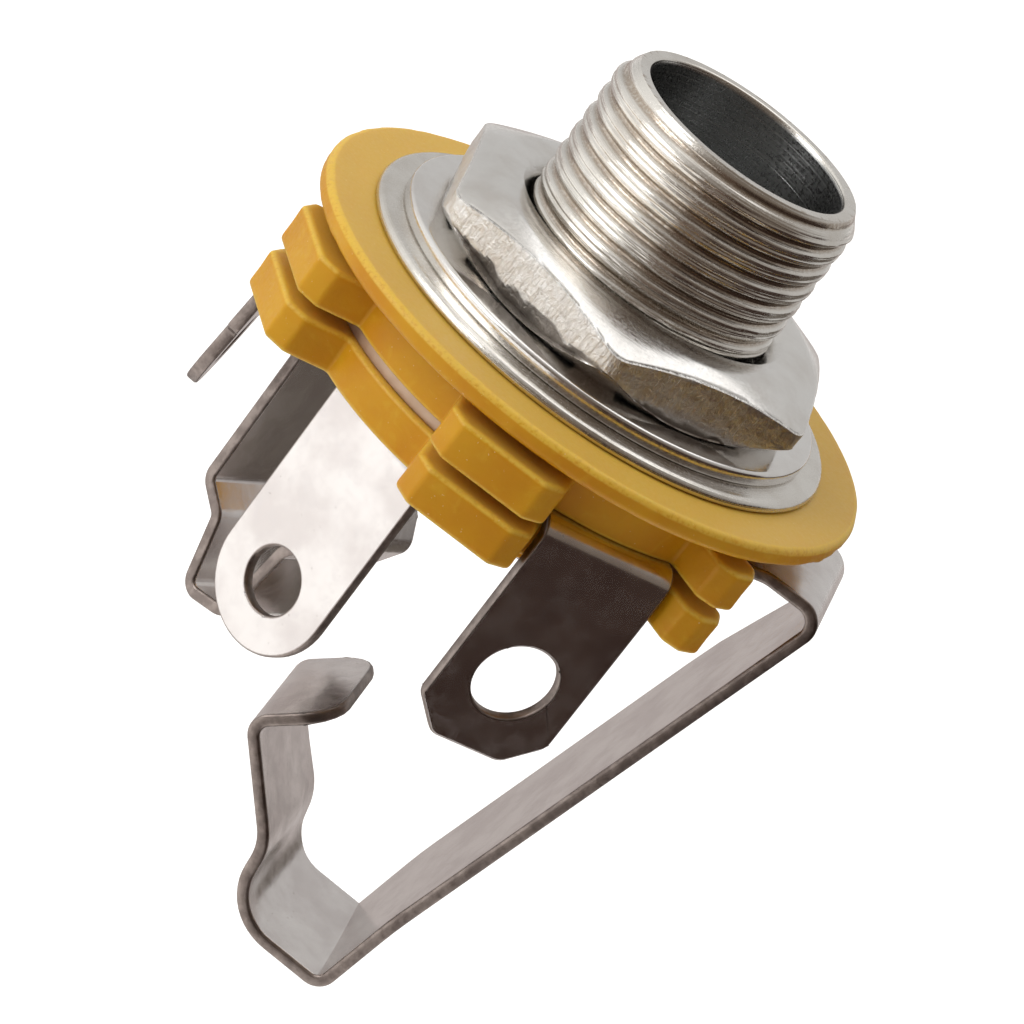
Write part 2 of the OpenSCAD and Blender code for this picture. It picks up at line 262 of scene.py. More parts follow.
class Shape:
    """Vertices in millimetres, faces, and named point attributes."""

    def __init__(self):
        self.verts = []
        self.faces = []
        self.values = {}

    def add(self, verts, faces, **values):
        base = len(self.verts)
        self.verts += [tuple(v) for v in verts]
        self.faces += [tuple(base + i for i in f) for f in faces]
        for name in sorted({*self.values, *values}):
            known = self.values.setdefault(name, [])
            known += [0.0] * (base - len(known))
            known += list(values.get(name, [0.0] * len(verts)))

    def wrap(self, columns, closed=True, around=True, **values):
        """Columns of points with the same count, joined one to the next, with values for each point."""
        rows, count = len(columns[0]), len(columns)
        faces = []
        for k in range(count if around else count - 1):
            n = (k + 1) % count
            for j in range(rows if closed else rows - 1):
                m = (j + 1) % rows
                faces.append((k * rows + j, n * rows + j, n * rows + m, k * rows + m))
        self.add([p for column in columns for p in column], faces, **values)

    def turned(self, outline, steps=TURN_STEPS, closed=True, **values):
        """Outline of (radius, z) points turned about the axis, with values for each of its points."""
        columns = []
        for k in range(steps):
            a = 2 * math.pi * k / steps
            columns.append([(p[0] * math.cos(a), p[0] * math.sin(a), p[1]) for p in outline])
        self.wrap(columns, closed, **{name: list(v) * steps for name, v in values.items()})

    def grid(self, rings, closed_rows=True, **values):
        """Rings of points with the same count, joined one to the next, with values for each ring."""
        rows, count = len(rings), len(rings[0])
        verts = [p for ring in rings for p in ring]
        faces = []
        for j in range(rows if closed_rows else rows - 1):
            m = (j + 1) % rows
            for k in range(count):
                n = (k + 1) % count
                faces.append((j * count + k, j * count + n, m * count + n, m * count + k))
        self.add(verts, faces, **{name: [x for x in v for _ in range(count)] for name, v in values.items()})

    def build(self, name, material, body, sharp=35.0, merge=2e-4):
        """Object with merged points and smooth shading, riding on the body unless that is None."""
        mesh = bpy.data.meshes.new(name)
        mesh.from_pydata([Vector(v) * MM for v in self.verts], [], self.faces)
        for key, values in self.values.items():
            attribute = mesh.attributes.new(key, "FLOAT", "POINT")
            attribute.data.foreach_set("value", values)
        work = bmesh.new()
        work.from_mesh(mesh)
        bmesh.ops.remove_doubles(work, verts=work.verts[:], dist=merge * MM)
        bmesh.ops.dissolve_degenerate(work, edges=work.edges[:], dist=merge * MM / 2)
        bmesh.ops.recalc_face_normals(work, faces=work.faces[:])
        rim = work.verts.layers.float.get("cut_edge")
        for f in work.faces:
            f.smooth = True
        for e in work.edges:
            if len(e.link_faces) == 2:
                rims = [any(v[rim] > 0.5 for v in f.verts) for f in e.link_faces] if rim else [False, False]
                e.smooth = rims[0] == rims[1] and e.calc_face_angle(0.0) < math.radians(sharp)
        work.to_mesh(mesh)
        work.free()
        mesh.materials.append(material)
        obj = placed(name, mesh)
        if body:
            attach(obj, body)
        return obj


# Bent sheet metal

def cut_blank(loops, cuts):
    """Flat mesh inside loops of (along, across) points, cut across at each distance along it."""
    flat = bmesh.new()
    for loop in loops:
        made = [flat.verts.new((p[0], p[1], 0)) for p in loop]
        for i, v in enumerate(made):
            flat.edges.new((v, made[(i + 1) % len(made)]))
    bmesh.ops.triangle_fill(flat, use_beauty=True, edges=flat.edges[:])
    for s in cuts:
        everything = flat.verts[:] + flat.edges[:] + flat.faces[:]
        bmesh.ops.bisect_plane(flat, geom=everything, dist=1e-5, plane_co=(s, 0, 0), plane_no=(1, 0, 0))
    flat.verts.index_update()
    flat.normal_update()
    return flat


def rim_of(flat):
    """Pairs of points along the blank's outline, and for each point how far a unit outset moves it."""
    rim = []
    outward = {}
    for e in flat.edges:
        if len(e.link_faces) != 1:
            continue
        a, b = e.verts
        middle = e.link_faces[0].calc_center_median()
        normal = Vector((b.co.y - a.co.y, a.co.x - b.co.x)).normalized()
        if normal.dot((a.co - middle).to_2d()) < 0:
            normal.negate()
            a, b = b, a
        rim.append((a.index, b.index))
        outward.setdefault(a.index, []).append(normal)
        outward.setdefault(b.index, []).append(normal)
    shift = {}
    for i, normals in outward.items():
        mean = sum(normals, Vector((0, 0)))
        mean.normalize()
        shift[i] = mean / max(0.5, mean.dot(normals[0]))
    return rim, shift


def sheet(shape, loops, path, angle, edge, extra_cuts=(), twist=None):
    """Blank with rounded edges, bent along the path and turned about the axis."""
    flat = cut_blank(loops, sorted(set(path.cuts()) | set(extra_cuts)))
    rim, shift = rim_of(flat)
    flats = [(v.co.x, v.co.y) for v in flat.verts]
    triangles = [[v.index for v in f.verts] for f in flat.faces]
    flat.free()
    half = SHEET_T / 2
    near = edge * 0.13
    mid = edge * 0.5
    profile = [(edge, half), (mid, half - near), (near, half - mid), (0, half - edge), (0, 0),
               (0, edge - half), (near, mid - half), (mid, near - half), (edge, -half)]
    spin = math.radians(angle)
    verts, along, across, cut_edge = [], [], [], []

    def put(i, inset, n, is_edge):
        s, y = flats[i]
        if i in shift:
            s -= shift[i].x * inset
            y -= shift[i].y * inset
        p = path.at(s, n + (twist(s, y) if twist else 0.0))
        x = p.x * math.cos(spin) - y * math.sin(spin)
        verts.append((x, p.x * math.sin(spin) + y * math.cos(spin), p.y))
        along.append(s)
        across.append(y)
        cut_edge.append(is_edge)
        return len(verts) - 1

    top = [put(i, edge, half, 0.0) for i in range(len(flats))]
    low = [put(i, edge, -half, 0.0) for i in range(len(flats))]
    faces = [[top[i] for i in t] for t in triangles] + [[low[i] for i in reversed(t)] for t in triangles]
    columns = {}
    for i in shift:
        middle = [put(i, inset, n, 1.0) for inset, n in profile[1:-1]]
        columns[i] = [top[i]] + middle + [low[i]]
    for a, b in rim:
        for j in range(len(profile) - 1):
            faces.append([columns[a][j], columns[b][j], columns[b][j + 1], columns[a][j + 1]])
    shape.add(verts, faces, along=along, across=across, cut_edge=cut_edge)


def plate(shape, z, outer, inner):
    """Round plate of a contact, whose rim is rougher and painted tan as a painted reflection of the amber
    plastic and the dark gap.
    """
    low = z - SHEET_T
    corners = [(inner, low, 0), (outer, low, PLATE_EDGE), (outer, z, PLATE_EDGE), (inner, z, 0)]
    outline = fillet(corners, step=30)
    rim = [1.0 if p[0] > outer - PLATE_EDGE else 0.0 for p in outline]
    shape.turned(outline, steps=PLATE_STEPS, cut_edge=rim, dull=rim)


# Nodes

def cleared(owner, output_kind):
    """Empty node tree of a material or world, and the surface socket of its output."""
    owner.use_nodes = True
    tree = owner.node_tree
    tree.nodes.clear()
    return tree, tree.nodes.new(output_kind).inputs["Surface"]


def new_material(name):
    made = bpy.data.materials.new(name)
    tree, surface = cleared(made, "ShaderNodeOutputMaterial")
    shader = tree.nodes.new("ShaderNodeBsdfPrincipled")
    tree.links.new(shader.outputs["BSDF"], surface)
    return made, tree, shader


def node(tree, kind, links=(), **settings):
    """New node; links gives each input socket a source socket or a value."""
    made = tree.nodes.new(kind)
    for key, value in settings.items():
        setattr(made, key, value)
    for socket, source in dict(links).items():
        target = made.inputs[socket]
        if isinstance(source, bpy.types.NodeSocket):
            tree.links.new(source, target)
        else:
            target.default_value = source
    return made


def math_of(tree, operation, a, b):
    return node(tree, "ShaderNodeMath", {0: a, 1: b}, operation=operation).outputs[0]


def times(tree, a, b):
    return math_of(tree, "MULTIPLY", a, b)


def plus(tree, a, b):
    return math_of(tree, "ADD", a, b)


def along_direction(tree, vector, direction):
    made = node(tree, "ShaderNodeVectorMath", {0: vector, 1: direction}, operation="DOT_PRODUCT")
    return made.outputs["Value"]


def remap(tree, value, low, high, to_low=0.0, to_high=1.0):
    links = {"Value": value, "From Min": low, "From Max": high, "To Min": to_low, "To Max": to_high}
    return node(tree, "ShaderNodeMapRange", links, interpolation_type="SMOOTHSTEP").outputs["Result"]


def mix_colour(tree, factor, a, b):
    made = node(tree, "ShaderNodeMix", data_type="RGBA")
    sockets = {i.identifier: i for i in made.inputs}
    for key, value in (("Factor_Float", factor), ("A_Color", a), ("B_Color", b)):
        if isinstance(value, bpy.types.NodeSocket):
            tree.links.new(value, sockets[key])
        else:
            sockets[key].default_value = value
    return next(o for o in made.outputs if o.identifier == "Result_Color")


def noise_of(tree, vector, scale, detail=3.0, roughness=0.55, distortion=0.0):
    links = {"Vector": vector, "Scale": scale, "Detail": detail, "Roughness": roughness,
             "Distortion": distortion}
    return node(tree, "ShaderNodeTexNoise", links).outputs["Fac"]


def attribute_of(tree, name):
    return node(tree, "ShaderNodeAttribute", attribute_name=name).outputs["Fac"]


def millimetres(tree):
    """Object coordinates in millimetres."""
    coords = node(tree, "ShaderNodeTexCoord").outputs["Object"]
    return node(tree, "ShaderNodeMapping", {"Vector": coords, "Scale": (1 / MM,) * 3}).outputs["Vector"]


def strip_vector(tree, along_scale, across_scale):
    """Coordinates that follow a bent strip."""
    along = times(tree, attribute_of(tree, "along"), along_scale)
    across = times(tree, attribute_of(tree, "across"), across_scale)
    return node(tree, "ShaderNodeCombineXYZ", {"X": along, "Y": across}).outputs["Vector"]


def ring_vector(tree, scale):
    """Coordinates that are nearly the same all the way round the axis, for lathe marks."""
    place = node(tree, "ShaderNodeSeparateXYZ", {"Vector": millimetres(tree)})
    flat = node(tree, "ShaderNodeCombineXYZ", {"X": place.outputs["X"], "Y": place.outputs["Y"]})
    radius = node(tree, "ShaderNodeVectorMath", {0: flat.outputs["Vector"]}, operation="LENGTH")
    wander = noise_of(tree, millimetres(tree), scale=0.35, detail=1.0)
    return node(tree, "ShaderNodeCombineXYZ", {
        "X": times(tree, radius.outputs["Value"], scale),
        "Y": times(tree, place.outputs["Z"], scale),
        "Z": times(tree, wander, 2.0)}).outputs["Vector"]


def bump(tree, shader, layers):
    """Bump layers of (height, strength, depth in millimetres), each on top of the last."""
    normal = None
    for height, strength, depth in layers:
        links = {"Height": height, "Strength": strength, "Distance": depth * MM}
        made = node(tree, "ShaderNodeBump", links)
        if normal is not None:
            tree.links.new(normal, made.inputs["Normal"])
        normal = made.outputs["Normal"]
    tree.links.new(normal, shader.inputs["Normal"])


# Materials

NICKEL = (0.735, 0.71, 0.665, 1)
NICKEL_BROWN = (0.40, 0.335, 0.27, 1)
NUT_NICKEL = (0.76, 0.745, 0.72, 1)
NUT_BROWN = (0.47, 0.41, 0.35, 1)
WASHER_NICKEL = (0.77, 0.755, 0.735, 1)
WASHER_BROWN = (0.56, 0.50, 0.45, 1)
BORE_GREY = (0.30, 0.305, 0.305, 1)
TORN_METAL_AND_SHADE = (0.20, 0.17, 0.145, 1)

SHEET_PALE = (0.73, 0.695, 0.675, 1)
SHEET_CLOUDED = (0.52, 0.47, 0.455, 1)
SHEET_SMEARED = (0.62, 0.585, 0.575, 1)
SHEET_SPOT = (0.36, 0.31, 0.28, 1)
SHEARED_EDGE_SHADE_DARK = (0.15, 0.115, 0.10, 1)
SHEARED_EDGE_SHADE_LIGHT = (0.27, 0.22, 0.195, 1)
PLATE_RIM_PAINTED_REFLECTION = (0.50, 0.36, 0.26, 1)

AMBER_DEEP = (0.60, 0.255, 0.002, 1)
AMBER_LIGHT = (0.68, 0.345, 0.006, 1)
AMBER_SWIRL = (0.74, 0.46, 0.03, 1)
AMBER_TOP_PAINTED_SHEEN = (0.72, 0.47, 0.085, 1)
AMBER_WORN = (0.80, 0.52, 0.07, 1)
AMBER_DUST = (0.86, 0.70, 0.36, 1)


def nickel(name, base, stain, rough, sides=False, groove=False, polish=0.0):
    """Nickel with stains, pits and lathe marks; groove darkens the thread's grooves and paints the bore dark
    grey, and sides adds torn flats whose lower band is painted dark, partly torn metal and partly painted
    shade under the nut.
    """
    made, tree, shader = new_material(name)
    shader.inputs["Metallic"].default_value = 1.0
    place = millimetres(tree)
    cloud = noise_of(tree, place, scale=0.55, detail=4.0)
    fine = noise_of(tree, place, scale=9.0, roughness=0.6)
    speck = noise_of(tree, place, scale=26.0, detail=2.0, roughness=0.5)
    rings = noise_of(tree, ring_vector(tree, 16.0), scale=1.0, detail=2.0, roughness=0.6)
    tint = remap(tree, cloud, 0.35, 0.72, 0.0, 0.30)
    pits = remap(tree, speck, 0.66, 0.74)
    roughness = remap(tree, fine, 0.3, 0.7, rough - 0.05, rough + 0.08)
    lathe_marks = (rings, 0.35 - 0.25 * polish, 0.010)
    if groove:
        # The thread's grooves are darkened by their depth, and the bore is painted dark grey.
        depth = remap(tree, attribute_of(tree, "groove"), 0.3, 1.0)
        groove_darkening = times(tree, depth, remap(tree, fine, 0.25, 0.6, 0.5, 1.0))
        tint = math_of(tree, "MAXIMUM", tint, groove_darkening)
        lathe_marks = (rings, 0.75, 0.018)
    colour = mix_colour(tree, tint, base, stain)
    colour = mix_colour(tree, times(tree, pits, 0.35), colour, stain)
    if groove:
        bore = attribute_of(tree, "bore")
        colour = mix_colour(tree, times(tree, bore, 0.95), colour, BORE_GREY)
        pits = times(tree, pits, math_of(tree, "SUBTRACT", 1.0, bore))
        roughness = plus(tree, roughness, times(tree, bore, 0.08))
    layers = [lathe_marks, (fine, 0.22 - 0.16 * polish, 0.012), (pits, 0.3, -0.008)]
    if sides:
        side = attribute_of(tree, "side")
        torn = attribute_of(tree, "torn")
        upright = node(tree, "ShaderNodeMapping", {"Vector": place, "Scale": (7.0, 7.0, 0.9)})
        streak = noise_of(tree, upright.outputs["Vector"], scale=1.0, detail=4.0, roughness=0.65,
                          distortion=0.4)
        chips = noise_of(tree, place, scale=3.2, detail=5.0, roughness=0.7, distortion=0.8)
        rough_side = plus(tree, times(tree, streak, 0.6), times(tree, chips, 0.6))
        layers.append((times(tree, rough_side, side), 0.8, 0.12))
        roughness = plus(tree, roughness, times(tree, side, 0.14))
        roughness = plus(tree, roughness, times(tree, torn, 0.12))
        worn = times(tree, remap(tree, chips, 0.45, 0.68), times(tree, side, 0.45))
        colour = mix_colour(tree, worn, colour, stain)
        # The torn lower band is painted dark: partly torn metal, partly painted shade and painted dark
        # reflection under the nut.
        colour = mix_colour(tree, times(tree, torn, 0.75), colour, TORN_METAL_AND_SHADE)
    tree.links.new(colour, shader.inputs["Base Color"])
    tree.links.new(roughness, shader.inputs["Roughness"])
    bump(tree, shader, layers)
    return made


def contact_sheet(name):
    """Plated spring sheet with rolling grain, clouds and spots; its cut edges are painted dark brown, partly
    sheared metal and partly painted shade.
    """
    made, tree, shader = new_material(name)
    shader.inputs["Metallic"].default_value = 1.0
    place = millimetres(tree)
    grain = noise_of(tree, strip_vector(tree, 0.35, 9.0), scale=1.0, roughness=0.6)
    cloud = noise_of(tree, place, scale=0.42, detail=4.0, roughness=0.6)
    smear = noise_of(tree, place, scale=1.3, roughness=0.6, distortion=0.6)
    fine = noise_of(tree, place, scale=14.0, detail=2.0)
    speck = noise_of(tree, place, scale=5.5, detail=2.0, roughness=0.4)
    shear = noise_of(tree, place, scale=2.2, roughness=0.6)
    edge = attribute_of(tree, "cut_edge")
    dull = attribute_of(tree, "dull")
    colour = mix_colour(tree, remap(tree, cloud, 0.35, 0.68, 0.0, 0.55), SHEET_PALE, SHEET_CLOUDED)
    colour = mix_colour(tree, remap(tree, smear, 0.50, 0.72, 0.0, 0.30), colour, SHEET_SMEARED)
    spots = remap(tree, speck, 0.74, 0.77)
    colour = mix_colour(tree, times(tree, spots, 0.45), colour, SHEET_SPOT)
    # Cut edges are painted dark brown: partly the sheared metal's own colour, partly painted shade.
    sheared_edge_and_shade = mix_colour(tree, remap(tree, shear, 0.35, 0.7), SHEARED_EDGE_SHADE_DARK, SHEARED_EDGE_SHADE_LIGHT)
    colour = mix_colour(tree, times(tree, edge, 0.9), colour, sheared_edge_and_shade)
    # The plate's rim is painted tan: a painted reflection of the amber plastic and the dark gap between the
    # wafers; the same mask makes it rougher.
    colour = mix_colour(tree, times(tree, dull, 0.9), colour, PLATE_RIM_PAINTED_REFLECTION)
    tree.links.new(colour, shader.inputs["Base Color"])
    satin = remap(tree, smear, 0.3, 0.7, 0.17, 0.27)
    roughness = plus(tree, satin, times(tree, edge, 0.18))
    roughness = plus(tree, roughness, times(tree, dull, 0.15))
    tree.links.new(roughness, shader.inputs["Roughness"])
    torn = times(tree, shear, edge)
    bump(tree, shader, [(grain, 0.06, 0.010), (fine, 0.08, 0.008), (cloud, 0.25, 0.05), (torn, 0.4, 0.05)])
    return made


def amber_plastic(name):
    """Amber moulding with swirls, worn edges and dust, and tops that face up painted lighter as a painted
    sheen.
    """
    made, tree, shader = new_material(name)
    place = millimetres(tree)
    cloud = noise_of(tree, place, scale=0.30, roughness=0.5)
    swirl = noise_of(tree, place, scale=1.1, detail=4.0, roughness=0.6, distortion=1.2)
    fine = noise_of(tree, place, scale=7.0, detail=4.0, roughness=0.6)
    speck = noise_of(tree, place, scale=8.0, detail=2.0, roughness=0.5)
    colour = mix_colour(tree, remap(tree, cloud, 0.3, 0.7), AMBER_DEEP, AMBER_LIGHT)
    colour = mix_colour(tree, remap(tree, swirl, 0.52, 0.78, 0.0, 0.30), colour, AMBER_SWIRL)
    # Surfaces that face up are painted lighter and yellower: a painted sheen.
    normal = node(tree, "ShaderNodeTexCoord").outputs["Normal"]
    facing_up = node(tree, "ShaderNodeSeparateXYZ", {"Vector": normal}).outputs["Z"]
    colour = mix_colour(tree, remap(tree, facing_up, 0.35, 0.98, 0.0, 0.75), colour, AMBER_TOP_PAINTED_SHEEN)
    worn = times(tree, attribute_of(tree, "worn"), remap(tree, fine, 0.30, 0.55, 0.25, 0.9))
    colour = mix_colour(tree, worn, colour, AMBER_WORN)
    dust = remap(tree, speck, 0.72, 0.77)
    colour = mix_colour(tree, times(tree, dust, 0.55), colour, AMBER_DUST)
    tree.links.new(colour, shader.inputs["Base Color"])
    tree.links.new(remap(tree, fine, 0.3, 0.7, 0.34, 0.50), shader.inputs["Roughness"])
    shader.inputs["Specular IOR Level"].default_value = 0.32
    shader.inputs["Subsurface Weight"].default_value = 0.22
    shader.inputs["Subsurface Radius"].default_value = (1.0, 0.45, 0.08)
    shader.inputs["Subsurface Scale"].default_value = 0.0009
    shader.inputs["IOR"].default_value = 1.5
    bump(tree, shader, [(swirl, 0.25, 0.06), (fine, 0.30, 0.030), (dust, 0.3, 0.015)])
    return made


turned_nickel = nickel("turned_nickel", NICKEL, NICKEL_BROWN, rough=0.20, groove=True)
nut_nickel = nickel("nut_nickel", NUT_NICKEL, NUT_BROWN, rough=0.19, sides=True, polish=0.5)
washer_nickel = nickel("washer_nickel", WASHER_NICKEL, WASHER_BROWN, rough=0.15, polish=0.7)
spring_metal = contact_sheet("spring_metal")
amber = amber_plastic("amber_plastic")


# Bushing: flange, tube and rolled rim are turned, and the thread is cut as a helix

def thread_radius(phase):
    """Radius over one pitch of a rolled thread: a crest with a fine seam, flanks and a narrow root."""
    seam_depth = 0.045
    crest_drop = 0.02
    away = abs(phase - 0.5) * 2
    seam = seam_depth * (1 - eased(away, 0.04, 0.22))
    flank = (THREAD_DEPTH - crest_drop) * eased(away, 0.42, 0.92)
    return THREAD_R - seam - flank - crest_drop * eased(away, 0.2, 0.4)


def thread_columns():
    """Columns of points up the barrel that rise a pitch in a turn, and the groove depth at each point."""
    wear_depth = 0.04
    lead_cut = 0.07
    root = THREAD_R - THREAD_DEPTH
    turns = math.ceil(BARREL_H / THREAD_PITCH) + 1
    taper = (THREAD_R - RIM_R) / LEAD_H
    columns, depth = [], []
    for k in range(TURN_STEPS + 1):
        a = 2 * math.pi * k / TURN_STEPS
        column = []
        for j in range(-THREAD_ROWS, turns * THREAD_ROWS + 1):
            z = THREAD_PITCH * (j / THREAD_ROWS + k / TURN_STEPS)
            z = min(max(z, 0.0), BARREL_H)
            r = thread_radius((j % THREAD_ROWS) / THREAD_ROWS)
            cut = (THREAD_R - r) / THREAD_DEPTH
            full = eased(z, NECK_H, FULL_THREAD_H)
            r = root + (r - root) * full
            here = Vector((math.cos(a) * 3.0, math.sin(a) * 3.0, z * 1.6))
            worn = wear_depth * bumps(here, 0.9, 3) * (r - root) / THREAD_DEPTH
            below_rim = BARREL_H - z
            lead = RIM_R + taper * below_rim - lead_cut * cut * eased(below_rim, 0.12, 0.35)
            r = min(r - worn, lead)
            column.append((r * math.cos(a), r * math.sin(a), z))
            depth.append(cut * full)
        columns.append(column)
    return columns, depth


def make_bushing():
    shape = Shape()
    soft = 0.1
    mouth_break = 0.06
    mouth_break_h = 0.2
    bore_round = 0.15
    flare = 0.3
    roll_round = 0.25
    roll_edge = 0.05
    flange_low_round = 0.12
    flange_top_round = 0.26
    shoulder = BARREL_H - MOUTH_H
    rear = ROLL_Z - ROLL_H
    mouth = [(RIM_R, BARREL_H, 0), (MOUTH_R + mouth_break, BARREL_H, soft),
             (MOUTH_R, BARREL_H - mouth_break_h, soft)]
    bore = [(MOUTH_R, shoulder, soft), (BORE_R, shoulder - MOUTH_R + BORE_R, soft),
            (BORE_R, rear, bore_round)]
    roll = [(TUBE_R + flare, rear, roll_round), (ROLL_R, rear + roll_round, roll_round),
            (ROLL_R, ROLL_Z, roll_edge), (TUBE_R, ROLL_Z, 0)]
    flange = [(TUBE_R, -FLANGE_T, 0), (FLANGE_R, -FLANGE_T, flange_low_round),
              (FLANGE_R, 0, flange_top_round), (THREAD_R - THREAD_DEPTH, 0, 0)]
    section = fillet(mouth + bore + roll + flange, closed=False)
    in_bore = [1.0 if p.x < MOUTH_R + 0.03 else 0.0 for p in section]
    shape.turned(section, closed=False, groove=[0.0] * len(section), bore=in_bore)
    columns, depth = thread_columns()
    shape.wrap(columns, closed=False, around=False, groove=depth)
    obj = shape.build("bushing_threaded", turned_nickel, "frame", sharp=50)
    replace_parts(obj, "bushing", "flange")


# Nut and panel washer

def nut_radius(rel):
    """Radius of the hexagon at an angle from the middle of a side, with its corners rounded."""
    centre = (NUT_FLAT_R - NUT_CORNER_ROUND) / math.cos(math.radians(30))
    away = math.radians(30) - abs(rel)
    tangent = math.atan2(NUT_CORNER_ROUND * 0.5, centre + NUT_CORNER_ROUND * math.cos(math.radians(30)))
    if away >= tangent:
        return NUT_FLAT_R / math.cos(rel)
    return centre * math.cos(away) + math.sqrt(NUT_CORNER_ROUND ** 2 - (centre * math.sin(away)) ** 2)


def nut_section(r):
    """Section of the nut where its side has the radius r: (radius, z) points, and 1 for each on the side."""
    # Small offsets from the true corners soften them
    base, top = WASHER_T, WASHER_T + NUT_H
    upper = top - (r - NUT_FACE_R) * math.tan(math.radians(NUT_TOP_CHAMFER))
    lower = base + max(0.05, (r - NUT_BASE_R) * math.tan(math.radians(NUT_BASE_CHAMFER)))
    sink_r = NUT_BORE_R + NUT_SINK
    bore = [(NUT_BORE_R, base + NUT_SINK), (NUT_BORE_R, top - NUT_SINK),
            (NUT_BORE_R + 0.05, top - NUT_SINK + 0.08), (sink_r - 0.07, top - 0.05)]
    crown = [(sink_r + 0.02, top), (NUT_FACE_R - 0.25, top), (NUT_FACE_R, top - 0.02),
             (NUT_FACE_R + 0.2, top - 0.07), (r - 0.16, upper + 0.062), (r - 0.06, upper + 0.005)]
    rise = lower + 0.1 - upper
    side = [(r, upper - 0.07 + rise * i / NUT_SIDE_ROWS) for i in range(NUT_SIDE_ROWS + 1)]
    foot = [(r - 0.04, lower - 0.01), (max(r - 0.3, NUT_BASE_R - 0.1), max(base + 0.02, lower - 0.24)),
            (NUT_BASE_R - 0.16, base), (sink_r, base)]
    flags = [0.0] * len(bore + crown) + [1.0] * len(side) + [0.0] * len(foot)
    return bore + crown + side + foot, flags


def torn_side(here, z, radius, rel, face, flag):
    """Radius of a point after chips and tearing, and how far it lies in the torn lower band of its side, a
    band that is painted dark as torn metal and painted shade under the nut.
    """
    split_h, undercut = (1.30, 0.80) if face % 2 else (0.95, 0.16)
    ragged_h = 0.22
    step_depth = 0.06
    skin_loss = 0.006
    chip_depth = 0.035
    torn_chip_depth = 0.03
    less_at_ends = 0.7
    ragged = noise.fractal(Vector((rel * 5.5, face * 3.7, z * 0.5)), 0.7, 2.0, 4)
    split = split_h + ragged_h * ragged
    below = flag * eased(split - z, -0.03, 0.10)
    chips = bumps(here * 1.9, 0.8, 4)
    at_ends = eased(abs(math.degrees(rel)), 21.0, 28.0)
    under = step_depth + undercut * max(0.0, split - z)
    chipped = radius - flag * (skin_loss + chip_depth * chips)
    return chipped - below * (under + torn_chip_depth * chips) * (1 - less_at_ends * at_ends), below


def make_nut():
    """Hexagon nut with a crowned top, cut lower corners and torn sides."""
    shape = Shape()
    columns, side, torn = [], [], []
    for k in range(6 * NUT_SIDE_COLUMNS):
        face = k // NUT_SIDE_COLUMNS
        share = (k % NUT_SIDE_COLUMNS) / NUT_SIDE_COLUMNS
        spread = 0.5 - 0.5 * math.cos(math.pi * share)
        rel = math.radians(60 * (0.4 * share + 0.6 * spread) - 30)
        a = math.radians(NUT_CORNER + 30 + 60 * face) + rel
        section, flags = nut_section(nut_radius(rel))
        column = []
        for (radius, z), flag in zip(section, flags):
            here = Vector((radius * math.cos(a), radius * math.sin(a), z))
            out, below = torn_side(here, z, radius, rel, face, flag)
            column.append((out * math.cos(a), out * math.sin(a), z))
            torn.append(below)
        columns.append(column)
        side += flags
    shape.wrap(columns, side=side, torn=torn)
    obj = shape.build("nut_chamfered", nut_nickel, "nut", sharp=30)
    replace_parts(obj, "hex_nut")


def make_washer():
    shape = Shape()
    shape.turned(fillet([(WASHER_BORE_R, 0, 0.05), (WASHER_R, 0, 0.12), (WASHER_R, WASHER_T, 0.16),
                         (WASHER_BORE_R, WASHER_T, 0.08)]))
    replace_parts(shape.build("washer_flat", washer_nickel, "washer"), "panel_washer")


# Insulators

def add_gate(shape, low):
    """Stub of the moulding gate under the disc's rim, as a lumpy ball."""
    place = Vector((10.28, 0, low + 0.02))
    half = Vector((0.24, 0.42, 0.26))
    turn = Matrix.Rotation(math.radians(-12), 3, "Z")
    rows, count = 8, 16
    rings = []
    for i in range(1, rows):
        lift = math.radians(-90 + 180 / rows * i)
        ring = []
        for k in range(count):
            a = 2 * math.pi * k / count
            bulge = Vector((math.cos(lift) * math.cos(a) * half.x, math.cos(lift) * math.sin(a) * half.y,
                            math.sin(lift) * half.z))
            bulge *= 1.0 + 0.25 * noise.noise(bulge * 6.0)
            ring.append(turn @ (place + bulge))
        rings.append(ring)
    shape.grid(rings, closed_rows=False)


def make_disc():
    """Disc with a soft, dented rim and the stub of its moulding gate."""
    shape = Shape()
    dent_depth = 0.05
    low = DISC_Z - DISC_T
    outline = fillet([(STACK_BORE_R, low, 0), (DISC_R, low, 0.28), (DISC_R, DISC_Z, 0.24),
                      (STACK_BORE_R, DISC_Z, 0)], step=15)
    outline.insert(len(outline) - 1, Vector((DISC_R - 0.42, DISC_Z)))
    worn = [1.0 if p.x > DISC_R - 0.18 and p.y > DISC_Z - 0.2 else 0.0 for p in outline]
    shape.turned(outline, worn=worn)
    for i, v in enumerate(shape.verts):
        here = Vector(v)
        if here.to_2d().length > DISC_R - 0.3:
            dent = dent_depth * bumps(here * 1.3, 0.8, 4)
            shape.verts[i] = (v[0] * (1 - dent / DISC_R), v[1] * (1 - dent / DISC_R), v[2])
    add_gate(shape, low)
    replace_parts(shape.build("disc_front", amber, "frame"), "front_disc")


def key_corners(angle, width):
    """Corners of one key of a wafer, with its outer corners cut."""
    foot_round = 0.14
    corner_round = 0.32
    half = width / 2
    foot = math.asin(half / WAFER_R)
    base = WAFER_R * math.cos(foot)
    cut = min(KEY_CUT, half * 0.55)
    flat = [(base, -half, foot_round), (KEY_R - cut, -half, corner_round), (KEY_R, cut - half, corner_round),
            (KEY_R, half - cut, corner_round), (KEY_R - cut, half, corner_round), (base, half, foot_round)]
    corners = []
    for x, y, r in flat:
        p = rotated(Vector((x, y)), math.radians(angle))
        corners.append((p.x, p.y, r))
    return corners


